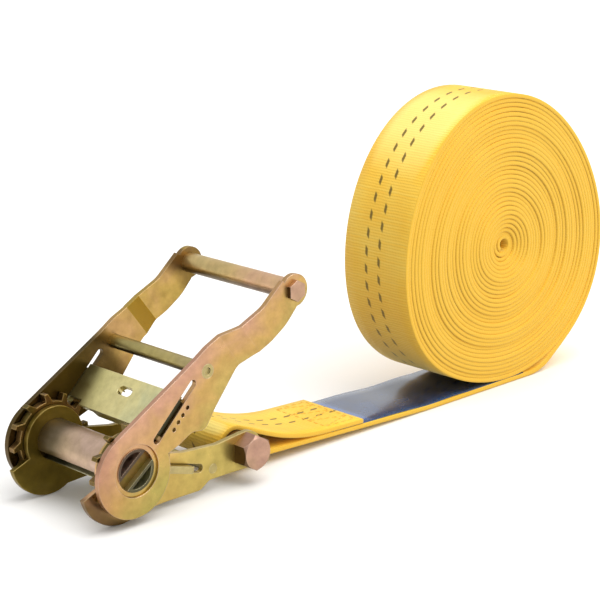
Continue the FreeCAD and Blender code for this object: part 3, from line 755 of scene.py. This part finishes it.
def sewnThread():
    # every stitch is a short bowed tube that dips into the webbing at both ends
    s = stitching
    top = webbing["pitch"] + webbing["labelGap"] + webbing["thickness"] / 2
    rings, sides = 7, 8
    points, faces = [], []
    for line in stitchLine():
        for (xa, ya), (xb, yb) in zip(line, line[1:]):
            span = math.dist((xa, ya), (xb, yb))
            count = max(1, round(span / (s["stitch"] + s["gap"])))
            pitch = span / count
            ux, uy = (xb - xa) / span, (yb - ya) / span
            for k in range(count):
                first = len(points)
                for i in range(rings):
                    t = i / (rings - 1)
                    reach = k * pitch + s["gap"] / 2 + (pitch - s["gap"]) * t
                    rise = s["sink"] * (math.sin(math.pi * t) * 2.0 - 1.0)
                    thin = s["thread"] / 2 * (0.55 + 0.45 * math.sin(math.pi * t))
                    for j in range(sides):
                        side, up = polar(thin, 360 / sides * j)
                        x, z = besideAnchor(xa + ux * reach - uy * side, top + rise * 0.5 + up * 0.7)
                        y = ya + uy * reach + ux * side + webbing["offset"]
                        points.append((spoolX + x * mm, y * mm, spoolZ + z * mm))
                for i in range(rings - 1):
                    for j in range(sides):
                        a, b = first + i * sides + j, first + i * sides + (j + 1) % sides
                        faces.append((a, a + sides, b + sides, b))
                last = first + (rings - 1) * sides
                faces.append(tuple(first + j for j in range(sides)))
                faces.append(tuple(last + j for j in range(sides - 1, -1, -1)))
    mesh = bpy.data.meshes.new("sewn_thread")
    mesh.from_pydata(points, [], faces)
    mesh.update()
    mesh.polygons.foreach_set("use_smooth", [True] * len(mesh.polygons))
    obj = bpy.data.objects.new("sewn_thread", mesh)
    bpy.context.scene.collection.objects.link(obj)
    return obj


def bondedThread(name):
    # bonded polyester sewing thread: three plies twisted together, slightly waxy
    material, tree = newMaterial(name)
    coords = addNode(tree, "TexCoord")
    ply = addNode(tree, "TexWave",
                  {"Scale": 1 / (stitching["plySize"] * mm), "bands_direction": "DIAGONAL", "Distortion": 0.5},
                  {"Vector": coords.outputs["Object"]})
    shade = addNode(tree, "ValToRGB", links={"Fac": ply.outputs["Fac"]},
                    stops=[(0.0, "C8901F"), (0.6, stitching["colour"])])
    bump = addNode(tree, "Bump", {"Strength": 0.4, "Distance": 0.0001}, {"Height": ply.outputs["Fac"]})
    fibre = addNode(tree, "BsdfPrincipled", {"Roughness": 0.5, "Sheen Weight": 0.15},
                    {"Base Color": shade.outputs["Color"], "Normal": bump.outputs["Normal"]})
    addNode(tree, "OutputMaterial", links={"Surface": fibre.outputs[0]})
    return material


thread = sewnThread()
thread.data.materials.append(bondedThread("bonded polyester thread"))
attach(thread, "frame")
print("stitching:", len(thread.data.polygons), "faces")


# label

label = {
    "along": 70.0,      # mm along the lower layer from the anchor, where it starts under the sewn end
    "end": 306.0,       # mm from the spool's axis
    "width": 48.0,
    "thickness": 0.32,
    "rounding": 0.15,
    "clear": 0.03,      # from the webbing
    "wave": 0.2,        # in the open part, between these places from the spool's axis
    "waveFrom": (174.0, 186.0),
    "waveTo": (246.0, 262.0),
    "waveStep": 7.5,
    "band": 9.0,        # brighter band beside the sewn end
    "rim": 5.0,         # and along both edges
    "blue": "22406E",
    "deepBlue": "152647",
    "bandBlue": "3D66A6",
    "rimBlue": "244D78",
}


def labelPath():
    above = webbing["pitch"] / 2 + label["thickness"] / 2 + label["clear"]
    ground = (label["end"], strapLow + above, 0)
    start = besideAnchor(label["along"], above) + (-lowerSlope(),)
    found = []
    for x, z, slip in tracePath([start] + meetGround(above) + [ground], 2.0):
        free = smooth(*label["waveFrom"], x) * (1 - smooth(*label["waveTo"], x))
        found.append((x, z + label["wave"] * free * (1 + math.sin(x / label["waveStep"])), slip))
    return found


def printedVinyl(name):
    # soft vinyl label, screen printed blue under a clear film: glossy, so it mirrors what stands
    # over it; plain, with a brighter band at the sewn end
    material, tree = newMaterial(name)
    uv = addNode(tree, "UVMap", {"uv_map": "lengthAndWidth"})
    split = addNode(tree, "SeparateXYZ", links={"Vector": uv.outputs["UV"]})
    along = addNode(tree, "Math", {"operation": "MULTIPLY", 1: 1000.0}, {0: split.outputs["X"]})
    across = addNode(tree, "Math", {"operation": "MULTIPLY", 1: 1000.0}, {0: split.outputs["Y"]})
    place = addNode(tree, "TexCoord").outputs["Object"]
    cloud = addNode(tree, "TexNoise", {"Scale": 1 / (14 * mm), "Detail": 3.0}, {"Vector": place})
    ink = addNode(tree, "ValToRGB", links={"Fac": cloud.outputs["Fac"]},
                  stops=[(0.3, label["deepBlue"]), (0.7, label["blue"])])
    visible = webbing["sewnAlong"] - label["along"] + label["band"]
    inBand = addNode(tree, "MapRange", {"From Min": visible + 1.5, "From Max": visible - 1.5,
                                        "To Min": 0.0, "To Max": 0.85}, {"Value": along.outputs[0]})
    banded = addNode(tree, "Mix", {"data_type": "RGBA", 7: hexColour(label["bandBlue"])},
                     {0: inBand.outputs[0], 6: ink.outputs["Color"]})
    half = label["width"] / 2
    fromMiddle = addNode(tree, "Math", {"operation": "SUBTRACT", 1: half}, {0: across.outputs[0]})
    sideways = addNode(tree, "Math", {"operation": "ABSOLUTE"}, {0: fromMiddle.outputs[0]})
    inRim = addNode(tree, "MapRange", {"From Min": half - label["rim"], "From Max": half - 1.0,
                                       "To Min": 0.0, "To Max": 0.8}, {"Value": sideways.outputs[0]})
    colour = addNode(tree, "Mix", {"data_type": "RGBA", 7: hexColour(label["rimBlue"])},
                     {0: inRim.outputs[0], 6: banded.outputs[2]})
    # the film takes on the ribs of the weave beneath it, very shallow
    ribAngle = addNode(tree, "Math", {"operation": "MULTIPLY", 1: 2 * math.pi / weave["ribPitch"]},
                       {0: along.outputs[0]})
    rib = addNode(tree, "Math", {"operation": "SINE"}, {0: ribAngle.outputs[0]})
    height = addNode(tree, "Math", {"operation": "MULTIPLY_ADD", 1: 0.12},
                     {0: rib.outputs[0], 2: cloud.outputs["Fac"]})
    bump = addNode(tree, "Bump", {"Strength": 0.25, "Distance": 0.0002}, {"Height": height.outputs[0]})
    rough = addNode(tree, "MapRange", {"To Min": 0.2, "To Max": 0.32}, {"Value": cloud.outputs["Fac"]})
    film = addNode(tree, "BsdfPrincipled", {"IOR": 1.6, "Coat Weight": 0.85, "Coat Roughness": 0.16},
                   {"Base Color": colour.outputs[2], "Roughness": rough.outputs[0],
                    "Normal": bump.outputs["Normal"]})
    addNode(tree, "OutputMaterial", links={"Surface": film.outputs[0]})
    return material


labelProfile = bandProfile(label["width"], label["thickness"], label["rounding"])
labelPiece, labelLength = sweepBand("printed_label", labelPath(), labelProfile, label["width"])
labelPiece.data.materials.append(printedVinyl("printed vinyl label"))
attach(labelPiece, "frame")
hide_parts("care_label")
print("label:", round(labelLength), "mm long")
